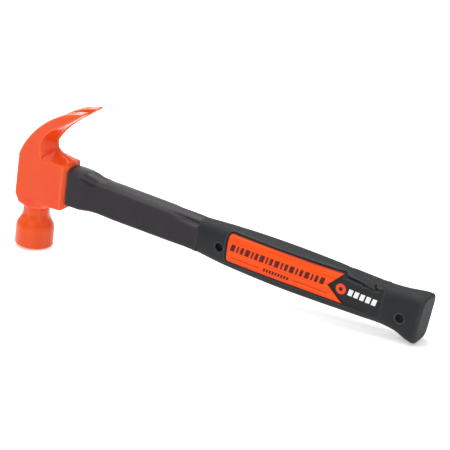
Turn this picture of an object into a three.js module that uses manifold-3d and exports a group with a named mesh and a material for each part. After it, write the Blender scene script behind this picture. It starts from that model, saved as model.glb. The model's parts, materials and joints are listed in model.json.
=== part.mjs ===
// Claw hammer: a forged head on a handle of steel rods in moulded black sleeves.
// Millimetres. X runs from the head's axis to the butt, Z from the striking face up to
// the claw, Y across the hammer. The origin is the centre of the striking face.

import * as THREE from 'three';
import * as BufferGeometryUtils from 'three/addons/utils/BufferGeometryUtils.js';
import Module from 'manifold-3d';

const wasm = await Module();
wasm.setup();

// ---------------------------------------------------------------- driving dimensions

const GAP = 0.3; // clearance between neighbouring pieces

// poll and neck
const POLL_RADIUS = 15;
const POLL_TOP = 14;
const POLL_SHOULDER = 5;
const FACE_BEVEL = 1.3;
const NECK_RADIUS = 10.8;
const NECK_HEIGHT = 26;
const NECK_TOP = 31;
const TURN_SEGMENTS = 40;

// cheek block
const HEAD_BACK = -13.4;
const HEAD_FRONT = 31;
const CHEEK_HALF_WIDTH = 11.4;
const CHEEK_BOTTOM = 41.3;
const CHEEK_TOP = 74.8;
const CHEEK_ROUNDING = 2.5;
const SIDE_STEPS = 4;
const FRONT_CHAMFER = 3.6;
const BACK_CHAMFER = 1.2;

// claw
const CLAW_BACK_START = 74.2;
const CLAW_BACK_PULLS = [new THREE.Vector2(-10.8, 86.8), new THREE.Vector2(12.7, 117.5)];
const CLAW_TIP = new THREE.Vector2(41.9, 121.5);
const CLAW_TIP_HALF_WIDTH = 14.6;
const CLAW_FAN_START = 81.3;
const CLAW_FAN_END = 117.3;
const CLAW_EDGE = 1.3;
const CLAW_BED = 8; // how far the claw's root reaches into the cheek block
const THROAT = new THREE.Vector2(9.5, 86);
const THROAT_RADIUS = 9;
const CROWN_BACK = 82; // top of the crowned ridge over the eye, at the throat and at the handle
const CROWN_FRONT = 77.3;
const CROWN_HALF_WIDTH = 4.5;
const SLOT_APEX = new THREE.Vector2(14, 94.3);
const SLOT_TILT = THREE.MathUtils.degToRad(42);
const SLOT_LENGTH = 48;
const SLOT_APEX_HALF_WIDTH = 0.9;
const SLOT_MOUTH_HALF_WIDTH = 6;

// eye, its counterbore and the plate in it
const EYE_CENTRE = 58.3;
const EYE_HALF_WIDTH = 7;
const EYE_HALF_HEIGHT = 13.4;
const EYE_CORNER = 4.5;
const COUNTERBORE_DEPTH = 4.6;
const COUNTERBORE_MARGIN = 1.6;
const SAFETY_PLATE_THICKNESS = 2.2;

// rod core, which runs a little downhill from the eye to the butt
const CORE_TILT = THREE.MathUtils.degToRad(1);
const ROD_RADIUS = 2;
const ROD_ROWS = [-7, 0, 7];
const ROD_COLUMNS = [-3.1, 3.1];
const ROD_HEAD_RADIUS = 2.9;
const ROD_HEAD_HEIGHT = 1.1;
const ROD_SIDES = 10;
const BUTT_PLATE_X = 313;
const PLATE_THICKNESS = 2.5;
const SPACER_THICKNESS = 1.5;
const PLATE_CORNER = 2.5;
const SHOULDER_PLATE = { x: 37, thickness: PLATE_THICKNESS, halfWidth: 7.4, halfHeight: 11.6 };
const SPACER_FRONT = { x: 167.5, thickness: SPACER_THICKNESS, halfWidth: 6.2, halfHeight: 10 };
const SPACER_MIDDLE = { x: 236, thickness: SPACER_THICKNESS, halfWidth: 6.2, halfHeight: 10 };
const BUTT_PLATE = { x: BUTT_PLATE_X, thickness: PLATE_THICKNESS, halfWidth: 7, halfHeight: 10.6 };

// shaft sleeve
const SHAFT_END = 147.7;
const TONGUE_END = 158;
const TONGUE_HALF_WIDTH = 6.8;
const TONGUE_HALF_HEIGHT = 9.6;

// Stations along the handle: place on X, half width, half height and height of the centre.
const SHAFT_STATIONS = [
  { x: HEAD_FRONT + GAP, width: 9.6, height: 15, centre: 57.9 },
  { x: 32.5, width: 10.1, height: 15.5, centre: 57.8 },
  { x: 46, width: 10.1, height: 15.3, centre: 57.8 },
  { x: 55, width: 9.2, height: 13.7, centre: 57.4 },
  { x: 75, width: 9, height: 13.4, centre: 56.8 },
  { x: SHAFT_END, width: 9, height: 12.9, centre: 55.3 },
];
const GRIP_STATIONS = [
  { x: SHAFT_END + GAP, width: 9.3, height: 12.9, centre: 55 },
  { x: 165, width: 10.6, height: 14.2, centre: 54.4 },
  { x: 190, width: 11.4, height: 15.4, centre: 53.9 },
  { x: 222, width: 11.6, height: 16, centre: 53.2 },
  { x: 257, width: 11.4, height: 15.5, centre: 52.6 },
  { x: 290, width: 11, height: 14.4, centre: 52 },
  { x: 303, width: 11, height: 14.4, centre: 51.9 },
  { x: 312, width: 11.2, height: 15.4, centre: 51.6 },
  { x: 326, width: 11.7, height: 18.2, centre: 50.1 },
  { x: 330.3, width: 10.5, height: 17.1, centre: 50.1 },
];
const GRIP_END = GRIP_STATIONS[GRIP_STATIONS.length - 1].x;
const SECTION_POINTS = 32;
const SECTION_ROUNDNESS = 3.3;
const BUTT_LEAN_START = 300;
const BUTT_LEAN = 0.085;

// side panels, inlays and moulding recesses
// A slope is the drop per millimetre of the panel's and the inlay's edges.
const PANEL = { left: 173.4, right: 299.6, bottom: 45.4, top: 68.2, slope: 0.014, depth: 1.1, corner: 4 };
const PANEL_SHELF = { x: 270, top: 66.6, end: 64.6 }; // beyond the inlay the panel's top edge drops
const INLAY = { left: 174.6, bottom: 46.1, top: 67.6, slope: 0.014, corner: 2.5 };
const INLAY_TAIL = { top: 268.8, notch: 257.6, bottom: 271.4 };
const INLAY_THICKNESS = 0.65;
const MOULD_RECESSES = [{ x: 167.9, z: 54.3, radius: 3.3 }, { x: 315.3, z: 49.3, radius: 3.2 }];
const MOULD_RECESS_DEPTH = 2.6;
const RECESS_STEPS = 7;
const FAR = 60; // half length of a cutting prism, longer than anything it cuts

// materials
const ORANGE_PAINT = { color: 0xf0502a, roughness: 0.3, metalness: 0 };
const BLACK_SLEEVE = { color: 0x2b2a2e, roughness: 0.55, metalness: 0 };
const BLACK_RUBBER = { color: 0x26282a, roughness: 0.7, metalness: 0 };
const ORANGE_INLAY = { color: 0xff5a1e, roughness: 0.45, metalness: 0 };
const ROD_STEEL = { color: 0x9a9ca0, roughness: 0.35, metalness: 1 };
const PLATE_STEEL = { color: 0x8a8d92, roughness: 0.45, metalness: 1 };

// ---------------------------------------------------------------- solids and placing

const WELD = 1e-4; // vertices closer than this are one vertex
const CURVE_STEPS = 8; // steps on each curve of the head
const CORNER_STEPS = 3; // half the steps on each rounded corner

function toSolid(geometry) {
  const bare = geometry.clone();
  bare.deleteAttribute('normal');
  bare.deleteAttribute('uv');
  const merged = BufferGeometryUtils.mergeVertices(bare, WELD);
  const solid = new wasm.Manifold(new wasm.Mesh({
    numProp: 3,
    vertProperties: new Float32Array(merged.attributes.position.array),
    triVerts: new Uint32Array(merged.index.array),
  }));
  return solid;
}

function toGeometry(solid) {
  const mesh = solid.getMesh();
  const geometry = new THREE.BufferGeometry();
  geometry.setAttribute('position', new THREE.BufferAttribute(mesh.vertProperties, 3));
  geometry.setIndex(new THREE.BufferAttribute(mesh.triVerts, 1));
  geometry.computeVertexNormals();
  return geometry;
}

function extrusion(depth, steps) {
  return { depth, bevelEnabled: false, curveSegments: steps };
}

const AXIS_X = new THREE.Vector3(1, 0, 0);
const AXIS_Y = new THREE.Vector3(0, 1, 0);
const AXIS_Z = new THREE.Vector3(0, 0, 1);

// An outline in the (Y, Z) plane becomes a prism between two places on X.
function prismAlongX(outline, from, to, steps = CORNER_STEPS) {
  const geometry = new THREE.ExtrudeGeometry(outline, extrusion(to - from, steps));
  geometry.applyMatrix4(new THREE.Matrix4().makeBasis(AXIS_Y, AXIS_Z, AXIS_X));
  geometry.translate(from, 0, 0);
  return toSolid(geometry);
}

// An outline in the (X, Z) plane becomes a prism between two places on Y.
function prismAlongY(outline, from, to, steps = CORNER_STEPS) {
  const geometry = new THREE.ExtrudeGeometry(outline, extrusion(to - from, steps));
  geometry.applyMatrix4(new THREE.Matrix4().makeBasis(AXIS_X, AXIS_Z, AXIS_Y.clone().negate()));
  geometry.translate(0, to, 0);
  return toSolid(geometry);
}

function roundedRectangle(left, bottom, right, top, corner) {
  const outline = new THREE.Shape();
  outline.moveTo(left + corner, bottom);
  outline.absarc(right - corner, bottom + corner, corner, -Math.PI / 2, 0);
  outline.absarc(right - corner, top - corner, corner, 0, Math.PI / 2);
  outline.absarc(left + corner, top - corner, corner, Math.PI / 2, Math.PI);
  outline.absarc(left + corner, bottom + corner, corner, Math.PI, Math.PI * 1.5);
  return outline;
}

// Rings with the same number of points, in order, become one closed skin.
function loft(rings) {
  const count = rings[0].length;
  const positions = [];
  const indices = [];
  for (const ring of rings) {
    for (const point of ring) {
      positions.push(point.x, point.y, point.z);
    }
  }
  for (let row = 0; row < rings.length - 1; row += 1) {
    for (let i = 0; i < count; i += 1) {
      const a = row * count + i;
      const b = row * count + ((i + 1) % count);
      indices.push(a, b, b + count, a, b + count, a + count);
    }
  }
  const last = (rings.length - 1) * count;
  for (let i = 1; i < count - 1; i += 1) {
    indices.push(0, i + 1, i);
    indices.push(last, last + i, last + i + 1);
  }
  const geometry = new THREE.BufferGeometry();
  geometry.setAttribute('position', new THREE.Float32BufferAttribute(positions, 3));
  geometry.setIndex(indices);
  return toSolid(geometry);
}

// ---------------------------------------------------------------- hammer head

function pollSolid() {
  const profile = new THREE.Path();
  profile.moveTo(0, 0);
  profile.lineTo(POLL_RADIUS - FACE_BEVEL, 0);
  profile.lineTo(POLL_RADIUS, FACE_BEVEL);
  profile.lineTo(POLL_RADIUS, POLL_TOP);
  profile.bezierCurveTo(
    POLL_RADIUS, POLL_TOP + POLL_SHOULDER,
    NECK_RADIUS, NECK_HEIGHT - POLL_SHOULDER,
    NECK_RADIUS, NECK_HEIGHT,
  );
  profile.lineTo(NECK_RADIUS, NECK_TOP);
  profile.lineTo(0, NECK_TOP);
  const geometry = new THREE.LatheGeometry(profile.getPoints(CURVE_STEPS), TURN_SEGMENTS);
  geometry.rotateX(Math.PI / 2);
  return toSolid(geometry);
}

// The cheek block's plan outline, each side cut into the same number of steps.
function footprint(height, inset) {
  const back = HEAD_BACK + inset;
  const front = HEAD_FRONT - inset;
  const side = CHEEK_HALF_WIDTH - inset;
  const corners = [
    new THREE.Vector3(front, FRONT_CHAMFER - side, height),
    new THREE.Vector3(front, side - FRONT_CHAMFER, height),
    new THREE.Vector3(front - FRONT_CHAMFER, side, height),
    new THREE.Vector3(back + BACK_CHAMFER, side, height),
    new THREE.Vector3(back, side - BACK_CHAMFER, height),
    new THREE.Vector3(back, BACK_CHAMFER - side, height),
    new THREE.Vector3(back + BACK_CHAMFER, -side, height),
    new THREE.Vector3(front - FRONT_CHAMFER, -side, height),
  ];
  const ring = [];
  corners.forEach((corner, i) => {
    const next = corners[(i + 1) % corners.length];
    for (let step = 0; step < SIDE_STEPS; step += 1) {
      ring.push(corner.clone().lerp(next, step / SIDE_STEPS));
    }
  });
  return ring;
}

// A circle round the neck's axis whose points face the points of the footprint.
function neckRing(height, radius) {
  const middle = (HEAD_BACK + HEAD_FRONT) / 2;
  return footprint(height, 0).map((point) => {
    const angle = Math.atan2(point.y, point.x - middle);
    return new THREE.Vector3(radius * Math.cos(angle), radius * Math.sin(angle), height);
  });
}

function cheekSolid() {
  return loft([
    neckRing(NECK_TOP - 2, NECK_RADIUS),
    neckRing(NECK_TOP + 3, NECK_RADIUS + 1),
    footprint(CHEEK_BOTTOM - CHEEK_ROUNDING, CHEEK_ROUNDING),
    footprint(CHEEK_BOTTOM, 0),
    footprint(CHEEK_TOP - 1, 0),
    footprint(CHEEK_TOP, 1),
  ]);
}

function clawOutline() {
  const [lowerPull, upperPull] = CLAW_BACK_PULLS;
  const tip = CLAW_TIP;
  const outline = new THREE.Shape();
  outline.moveTo(HEAD_BACK, CHEEK_TOP - CLAW_BED);
  outline.lineTo(HEAD_BACK, CLAW_BACK_START);
  outline.bezierCurveTo(lowerPull.x, lowerPull.y, upperPull.x, upperPull.y, tip.x, tip.y);
  outline.lineTo(tip.x, tip.y - CLAW_EDGE);
  outline.bezierCurveTo(tip.x - 11.4, tip.y - 12, THROAT.x + 1, THROAT.y + 14, THROAT.x, THROAT.y);
  outline.bezierCurveTo(
    THROAT.x - 0.5, THROAT.y - 6,
    THROAT.x + 2, CHEEK_TOP,
    THROAT.x + THROAT_RADIUS, CHEEK_TOP - 0.5,
  );
  outline.lineTo(THROAT.x + THROAT_RADIUS, CHEEK_TOP - CLAW_BED);
  return outline;
}

// Seen along the handle, the claw fans out from the cheeks to its two tips.
function clawFan() {
  const outline = new THREE.Shape();
  const root = CHEEK_HALF_WIDTH;
  const tip = CLAW_TIP_HALF_WIDTH;
  const top = CLAW_FAN_END + 10;
  outline.moveTo(-root, CHEEK_BOTTOM);
  outline.lineTo(root, CHEEK_BOTTOM);
  outline.lineTo(root, CLAW_FAN_START);
  outline.quadraticCurveTo(root + 0.6, CLAW_FAN_START + 12, tip, CLAW_FAN_END);
  outline.lineTo(tip, top);
  outline.lineTo(-tip, top);
  outline.lineTo(-tip, CLAW_FAN_END);
  outline.quadraticCurveTo(-root - 0.6, CLAW_FAN_START + 12, -root, CLAW_FAN_START);
  return outline;
}

// The V between the tines is a prism square to the claw's chord.
function nailSlot() {
  const outline = new THREE.Shape();
  outline.moveTo(0, -SLOT_APEX_HALF_WIDTH);
  outline.lineTo(SLOT_LENGTH, -SLOT_MOUTH_HALF_WIDTH);
  outline.lineTo(SLOT_LENGTH, SLOT_MOUTH_HALF_WIDTH);
  outline.lineTo(0, SLOT_APEX_HALF_WIDTH);
  outline.absarc(0, 0, SLOT_APEX_HALF_WIDTH, Math.PI / 2, Math.PI * 1.5);
  const geometry = new THREE.ExtrudeGeometry(outline, extrusion(FAR, CORNER_STEPS));
  geometry.translate(0, 0, -FAR / 2);
  geometry.rotateY(-SLOT_TILT);
  geometry.translate(SLOT_APEX.x, 0, SLOT_APEX.y);
  return toSolid(geometry);
}

// The block's top rises to a ridge that runs from the throat down to the handle side.
function crownedTop() {
  const side = new THREE.Shape();
  side.moveTo(THROAT.x, CHEEK_TOP - CLAW_BED);
  side.lineTo(HEAD_FRONT, CHEEK_TOP - CLAW_BED);
  side.lineTo(HEAD_FRONT, CROWN_FRONT);
  side.lineTo(THROAT.x, CROWN_BACK);
  const roof = new THREE.Shape();
  const shoulder = CHEEK_HALF_WIDTH - FRONT_CHAMFER;
  roof.moveTo(-shoulder, CHEEK_TOP - CLAW_BED);
  roof.lineTo(shoulder, CHEEK_TOP - CLAW_BED);
  roof.lineTo(shoulder, CHEEK_TOP);
  roof.lineTo(CROWN_HALF_WIDTH, CROWN_BACK);
  roof.lineTo(-CROWN_HALF_WIDTH, CROWN_BACK);
  roof.lineTo(-shoulder, CHEEK_TOP);
  return prismAlongY(side, -FAR / 2, FAR / 2).intersect(prismAlongX(roof, 0, HEAD_FRONT));
}

function eyeOutline(margin) {
  const width = EYE_HALF_WIDTH + margin;
  const height = EYE_HALF_HEIGHT + margin;
  return roundedRectangle(-width, EYE_CENTRE - height, width, EYE_CENTRE + height, EYE_CORNER);
}

function hammerHead() {
  const eye = prismAlongX(eyeOutline(0), HEAD_BACK - 1, HEAD_FRONT + 1);
  const counterbore = prismAlongX(
    eyeOutline(COUNTERBORE_MARGIN), HEAD_BACK - 1, HEAD_BACK + COUNTERBORE_DEPTH,
  );
  return prismAlongY(clawOutline(), -FAR / 2, FAR / 2, CURVE_STEPS)
    .intersect(prismAlongX(clawFan(), HEAD_BACK - 1, FAR, CURVE_STEPS))
    .subtract(nailSlot())
    .add(cheekSolid())
    .add(crownedTop())
    .add(pollSolid())
    .subtract(eye)
    .subtract(counterbore);
}

// ---------------------------------------------------------------- rod core and its plates

// Everything on the core is made level and then tilted with it about the eye's centre.
function tiltWithCore(solid) {
  const matrix = new THREE.Matrix4().makeTranslation(0, 0, EYE_CENTRE);
  matrix.multiply(new THREE.Matrix4().makeRotationY(CORE_TILT));
  return solid.transform(matrix.elements);
}

function rodPlaces() {
  const places = [];
  for (const row of ROD_ROWS) {
    for (const column of ROD_COLUMNS) {
      places.push({ y: column, z: row });
    }
  }
  return places;
}

function roundBar(place, radius, from, to) {
  const geometry = new THREE.CylinderGeometry(radius, radius, to - from, ROD_SIDES);
  geometry.rotateZ(-Math.PI / 2);
  geometry.translate((from + to) / 2, place.y, place.z);
  return tiltWithCore(toSolid(geometry));
}

const SAFETY_PLATE_FRONT = HEAD_BACK + COUNTERBORE_DEPTH - GAP;
const SAFETY_PLATE_BACK = SAFETY_PLATE_FRONT - SAFETY_PLATE_THICKNESS;
const ROD_START = SAFETY_PLATE_BACK - GAP - ROD_HEAD_HEIGHT;
const ROD_STOP = BUTT_PLATE_X + PLATE_THICKNESS + GAP + ROD_HEAD_HEIGHT;

function coreRod(place) {
  return roundBar(place, ROD_RADIUS, ROD_START, ROD_STOP)
    .add(roundBar(place, ROD_HEAD_RADIUS, ROD_START, ROD_START + ROD_HEAD_HEIGHT))
    .add(roundBar(place, ROD_HEAD_RADIUS, ROD_STOP - ROD_HEAD_HEIGHT, ROD_STOP));
}

function cutRodHoles(solid, from, to) {
  return rodPlaces().reduce(
    (rest, place) => rest.subtract(roundBar(place, ROD_RADIUS + GAP, from, to)),
    solid,
  );
}

function safetyPlate() {
  const outline = eyeOutline(COUNTERBORE_MARGIN - GAP);
  const plate = prismAlongX(outline, SAFETY_PLATE_BACK, SAFETY_PLATE_FRONT);
  return cutRodHoles(plate, SAFETY_PLATE_BACK - 1, SAFETY_PLATE_FRONT + 1);
}

function plateBlank(halfWidth, halfHeight, from, to) {
  const outline = roundedRectangle(-halfWidth, -halfHeight, halfWidth, halfHeight, PLATE_CORNER);
  return tiltWithCore(prismAlongX(outline, from, to));
}

function corePlate(plate) {
  const to = plate.x + plate.thickness;
  return cutRodHoles(plateBlank(plate.halfWidth, plate.halfHeight, plate.x, to), plate.x - 1, to + 1);
}

// The room that a plate needs in the sleeve round it.
function plateRoom(plate, extra) {
  return plateBlank(
    plate.halfWidth + GAP, plate.halfHeight + GAP,
    plate.x - GAP, plate.x + plate.thickness + GAP + extra,
  );
}

// ---------------------------------------------------------------- moulded sleeves

// One rounded-rectangle ring across the handle. The butt's rings lean with their height.
function section(station, inset) {
  const ring = [];
  const lean = BUTT_LEAN * THREE.MathUtils.smoothstep(station.x, BUTT_LEAN_START, GRIP_END);
  const power = 2 / SECTION_ROUNDNESS;
  for (let i = 0; i < SECTION_POINTS; i += 1) {
    const angle = (i / SECTION_POINTS) * Math.PI * 2;
    const across = Math.sign(Math.cos(angle)) * Math.abs(Math.cos(angle)) ** power;
    const up = Math.sign(Math.sin(angle)) * Math.abs(Math.sin(angle)) ** power;
    const rise = up * (station.height - inset);
    ring.push(new THREE.Vector3(
      station.x + lean * rise,
      across * (station.width - inset),
      station.centre + rise,
    ));
  }
  return ring;
}

function sleeveLoft(stations, inset) {
  return loft(stations.map((station) => section(station, inset)));
}

function shaftSleeve() {
  const tenon = prismAlongX(eyeOutline(-GAP), SAFETY_PLATE_FRONT + GAP, HEAD_FRONT + 2);
  const collarFront = SHAFT_STATIONS[0].x + 1;
  const tongue = plateBlank(TONGUE_HALF_WIDTH, TONGUE_HALF_HEIGHT, collarFront, TONGUE_END);
  const sleeve = sleeveLoft(SHAFT_STATIONS, 0)
    .add(tenon)
    .add(tongue)
    .subtract(plateRoom(SHOULDER_PLATE, 0));
  return cutRodHoles(sleeve, ROD_START, TONGUE_END + 1);
}

// A prism from the middle plane out through one side of the handle.
function sidePrism(outline, side, steps) {
  return prismAlongY(outline, Math.min(0, side * FAR), Math.max(0, side * FAR), steps);
}

function sideCut(prism, depth) {
  return prism.subtract(sleeveLoft(GRIP_STATIONS, depth));
}

function recessPrism(recess, side) {
  const outline = new THREE.Shape();
  outline.absarc(recess.x, recess.z, recess.radius, 0, Math.PI * 2);
  return sidePrism(outline, side, RECESS_STEPS);
}

// The panel and the inlay lean a little with the handle, about their own left ends.
function leaningPrism(outline, side, shape) {
  const matrix = new THREE.Matrix4().makeTranslation(shape.left, 0, shape.bottom);
  matrix.multiply(new THREE.Matrix4().makeRotationY(shape.slope));
  matrix.multiply(new THREE.Matrix4().makeTranslation(-shape.left, 0, -shape.bottom));
  return sidePrism(outline, side, CORNER_STEPS).transform(matrix.elements);
}

function panelOutline() {
  const inner = PANEL.left + PANEL.corner;
  const outline = new THREE.Shape();
  outline.moveTo(inner, PANEL.bottom);
  outline.absarc(PANEL.right - PANEL.corner, PANEL.bottom + PANEL.corner, PANEL.corner, -Math.PI / 2, 0);
  outline.lineTo(PANEL.right, PANEL_SHELF.end);
  outline.lineTo(PANEL_SHELF.x, PANEL_SHELF.top);
  outline.lineTo(PANEL_SHELF.x - 1, PANEL.top);
  outline.absarc(inner, PANEL.top - PANEL.corner, PANEL.corner, Math.PI / 2, Math.PI);
  outline.absarc(inner, PANEL.bottom + PANEL.corner, PANEL.corner, Math.PI, Math.PI * 1.5);
  return outline;
}

function gripSleeve() {
  const socket = plateBlank(
    TONGUE_HALF_WIDTH + GAP, TONGUE_HALF_HEIGHT + GAP, SHAFT_END - 1, TONGUE_END + GAP,
  );
  let sleeve = sleeveLoft(GRIP_STATIONS, 0);
  for (const side of [-1, 1]) {
    sleeve = sleeve.subtract(sideCut(leaningPrism(panelOutline(), side, PANEL), PANEL.depth));
    for (const recess of MOULD_RECESSES) {
      sleeve = sleeve.subtract(sideCut(recessPrism(recess, side), MOULD_RECESS_DEPTH));
    }
  }
  sleeve = sleeve.subtract(socket);
  sleeve = sleeve.subtract(plateRoom(SPACER_FRONT, 0));
  sleeve = sleeve.subtract(plateRoom(SPACER_MIDDLE, 0));
  sleeve = sleeve.subtract(plateRoom(BUTT_PLATE, ROD_HEAD_HEIGHT + GAP));
  return cutRodHoles(sleeve, SHAFT_END - 1, BUTT_PLATE.x);
}

// ---------------------------------------------------------------- side inlays

function inlayOutline() {
  const middle = (INLAY.bottom + INLAY.top) / 2;
  const outline = new THREE.Shape();
  outline.moveTo(INLAY.left + INLAY.corner, INLAY.bottom);
  outline.lineTo(INLAY_TAIL.bottom, INLAY.bottom);
  outline.lineTo(INLAY_TAIL.notch, middle);
  outline.lineTo(INLAY_TAIL.top, INLAY.top);
  const inner = INLAY.left + INLAY.corner;
  outline.absarc(inner, INLAY.top - INLAY.corner, INLAY.corner, Math.PI / 2, Math.PI);
  outline.absarc(inner, INLAY.bottom + INLAY.corner, INLAY.corner, Math.PI, Math.PI * 1.5);
  return outline;
}

function sideInlay(side) {
  const floor = PANEL.depth - GAP;
  return leaningPrism(inlayOutline(), side, INLAY)
    .intersect(sleeveLoft(GRIP_STATIONS, floor - INLAY_THICKNESS))
    .subtract(sleeveLoft(GRIP_STATIONS, floor));
}

// ---------------------------------------------------------------- assembly

const hammer = new THREE.Group();
hammer.name = 'claw_hammer';

function addNode(name, solid, look) {
  const mesh = new THREE.Mesh(toGeometry(solid), new THREE.MeshStandardMaterial(look));
  mesh.name = name;
  hammer.add(mesh);
}

addNode('hammer_head', hammerHead(), ORANGE_PAINT);
addNode('head_safety_plate', safetyPlate(), PLATE_STEEL);
rodPlaces().forEach((place, i) => {
  addNode(`core_rod_${i + 1}`, coreRod(place), ROD_STEEL);
});
addNode('shoulder_plate', corePlate(SHOULDER_PLATE), PLATE_STEEL);
addNode('rod_spacer_front', corePlate(SPACER_FRONT), PLATE_STEEL);
addNode('rod_spacer_middle', corePlate(SPACER_MIDDLE), PLATE_STEEL);
addNode('butt_plate', corePlate(BUTT_PLATE), PLATE_STEEL);
addNode('shaft_sleeve', shaftSleeve(), BLACK_SLEEVE);
addNode('grip_sleeve', gripSleeve(), BLACK_RUBBER);
addNode('label_inlay_near', sideInlay(-1), ORANGE_INLAY);
addNode('label_inlay_far', sideInlay(1), ORANGE_INLAY);

export default hammer;
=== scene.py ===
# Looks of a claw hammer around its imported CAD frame: painted forged head, moulded black
# shaft, rubber grip with side panels, orange inlays with generic printed marks, steel core.
# Shapes are worked out in millimetres and angles in degrees; meshes are built in metres.

import json
import math

import bpy
import numpy as np
from mathutils import Matrix, Vector, geometry


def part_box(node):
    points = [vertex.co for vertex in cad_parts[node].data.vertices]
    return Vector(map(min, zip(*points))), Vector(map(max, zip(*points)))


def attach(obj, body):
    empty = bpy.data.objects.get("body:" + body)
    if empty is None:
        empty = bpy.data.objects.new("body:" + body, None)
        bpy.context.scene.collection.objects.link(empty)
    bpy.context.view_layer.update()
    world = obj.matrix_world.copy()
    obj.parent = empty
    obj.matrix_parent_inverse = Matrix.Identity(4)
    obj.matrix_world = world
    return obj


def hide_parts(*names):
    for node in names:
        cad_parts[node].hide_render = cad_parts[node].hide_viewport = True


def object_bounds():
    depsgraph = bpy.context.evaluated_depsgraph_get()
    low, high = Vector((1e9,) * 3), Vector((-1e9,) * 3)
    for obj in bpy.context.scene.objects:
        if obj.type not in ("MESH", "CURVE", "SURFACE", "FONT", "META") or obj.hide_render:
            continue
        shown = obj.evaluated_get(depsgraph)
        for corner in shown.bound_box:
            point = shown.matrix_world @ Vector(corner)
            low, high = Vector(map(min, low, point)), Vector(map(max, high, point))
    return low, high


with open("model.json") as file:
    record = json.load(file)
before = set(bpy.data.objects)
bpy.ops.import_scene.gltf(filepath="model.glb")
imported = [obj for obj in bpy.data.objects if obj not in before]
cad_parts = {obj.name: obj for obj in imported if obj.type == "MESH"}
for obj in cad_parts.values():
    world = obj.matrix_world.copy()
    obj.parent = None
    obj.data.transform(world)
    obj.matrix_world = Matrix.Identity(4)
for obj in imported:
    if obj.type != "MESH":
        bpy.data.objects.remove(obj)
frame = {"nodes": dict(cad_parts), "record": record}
CAD_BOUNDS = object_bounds()

MM = 0.001
ROOT = "root"


def box_mm(node):
    """The lowest and highest corners of a CAD node, in millimetres."""
    low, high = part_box(node)
    return np.array(low) / MM, np.array(high) / MM


def corners_mm(node):
    return np.array([vertex.co for vertex in frame["nodes"][node].data.vertices]) / MM


def cut(node, axis, place):
    """Where the edges of a CAD node cross a plane square to an axis, in millimetres."""
    corners = corners_mm(node)
    ends = np.array([edge.vertices[:] for edge in frame["nodes"][node].data.edges])
    start, stop = corners[ends[:, 0]], corners[ends[:, 1]]
    before, after = start[:, axis] - place, stop[:, axis] - place
    crossing = before * after < 0
    share = before[crossing] / (before[crossing] - after[crossing])
    return start[crossing] + share[:, None] * (stop[crossing] - start[crossing])


def section_rows(node, places):
    """Rows of place on X, half width, half height and height of the centre, cut from a CAD node."""
    rows = []
    for place in places:
        points = cut(node, 0, place)
        low, high = points[:, 2].min(), points[:, 2].max()
        rows.append((place, np.abs(points[:, 1]).max(), (high - low) / 2, (high + low) / 2))
    return np.array(rows)


def mount_mm(name):
    mounts = {mount["name"]: mount["pos_m"] for mount in frame["record"]["mounts"]}
    return np.array(mounts[name]) / MM


HEAD_LOW, HEAD_HIGH = box_mm("hammer_head")
PLATE_LOW, PLATE_HIGH = box_mm("head_safety_plate")
SHAFT_LOW, SHAFT_HIGH = box_mm("shaft_sleeve")
GRIP_LOW, GRIP_HIGH = box_mm("grip_sleeve")
INLAY_LOW, INLAY_HIGH = box_mm("label_inlay_near")


# -------------------- distance fields

def polygon_field(points, u, v):
    """Signed distance to a closed outline in a plane, negative inside."""
    best = np.full(np.broadcast(u, v).shape, np.inf)
    inside = np.zeros(best.shape, bool)
    for (u0, v0), (u1, v1) in zip(points, np.roll(points, -1, axis=0)):
        du, dv = u1 - u0, v1 - v0
        along = np.clip(((u - u0) * du + (v - v0) * dv) / (du * du + dv * dv), 0, 1)
        best = np.minimum(best, (u - u0 - du * along) ** 2 + (v - v0 - dv * along) ** 2)
        if v0 != v1:
            beside = u < u0 + du * (v - v0) / dv
            inside ^= ((v0 > v) != (v1 > v)) & beside
    return np.where(inside, -1, 1) * np.sqrt(best)


def round_cut(a, b, radius):
    """What lies inside both fields, with the edge between them rounded."""
    outer = np.hypot(np.maximum(a + radius, 0), np.maximum(b + radius, 0))
    return np.minimum(np.maximum(a, b), -radius) + outer


def round_join(a, b, radius):
    """What lies inside either field, with a fillet between them."""
    return -round_cut(-a, -b, radius)


def smoothstep(low, high, value):
    """0 before low, 1 past high, and a smooth rise between them; low may be the larger."""
    t = np.clip((value - low) / (high - low), 0, 1)
    return t * t * (3 - 2 * t)


def arc(centre, radius, start, end, steps):
    """Points of an arc; angles in degrees."""
    angles = np.radians(np.linspace(start, end, steps))
    return [(centre[0] + radius * math.cos(a), centre[1] + radius * math.sin(a)) for a in angles]


def bezier(p0, p1, p2, p3, steps):
    """Points of a cubic curve from p0 to p3, drawn towards p1 and p2."""
    t = np.linspace(0, 1, steps)[:, None]
    p0, p1, p2, p3 = (np.array(p, float) for p in (p0, p1, p2, p3))
    curve = p0 * (1 - t) ** 3 + 3 * p1 * t * (1 - t) ** 2 + 3 * p2 * t * t * (1 - t) + p3 * t ** 3
    return [tuple(point) for point in curve]


def flowing(x, stations):
    """Smooth values along the handle from rows of (x, value, value, ...)."""
    rows = np.array(stations, float)
    places, values = rows[:, 0], rows[:, 1:]
    slopes = np.gradient(values, places, axis=0)
    x = np.clip(x, places[0], places[-1])
    i = np.clip(np.searchsorted(places, x) - 1, 0, len(places) - 2)
    span = places[i + 1] - places[i]
    t = (x - places[i]) / span
    out = []
    for k in range(values.shape[1]):
        y0, y1 = values[i, k], values[i + 1, k]
        m0, m1 = slopes[i, k] * span, slopes[i + 1, k] * span
        out.append(y0 * (1 + 2 * t) * (1 - t) ** 2 + m0 * t * (1 - t) ** 2
                   + y1 * t * t * (3 - 2 * t) + m1 * t * t * (t - 1))
    return out


# -------------------- skins from fields

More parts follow.
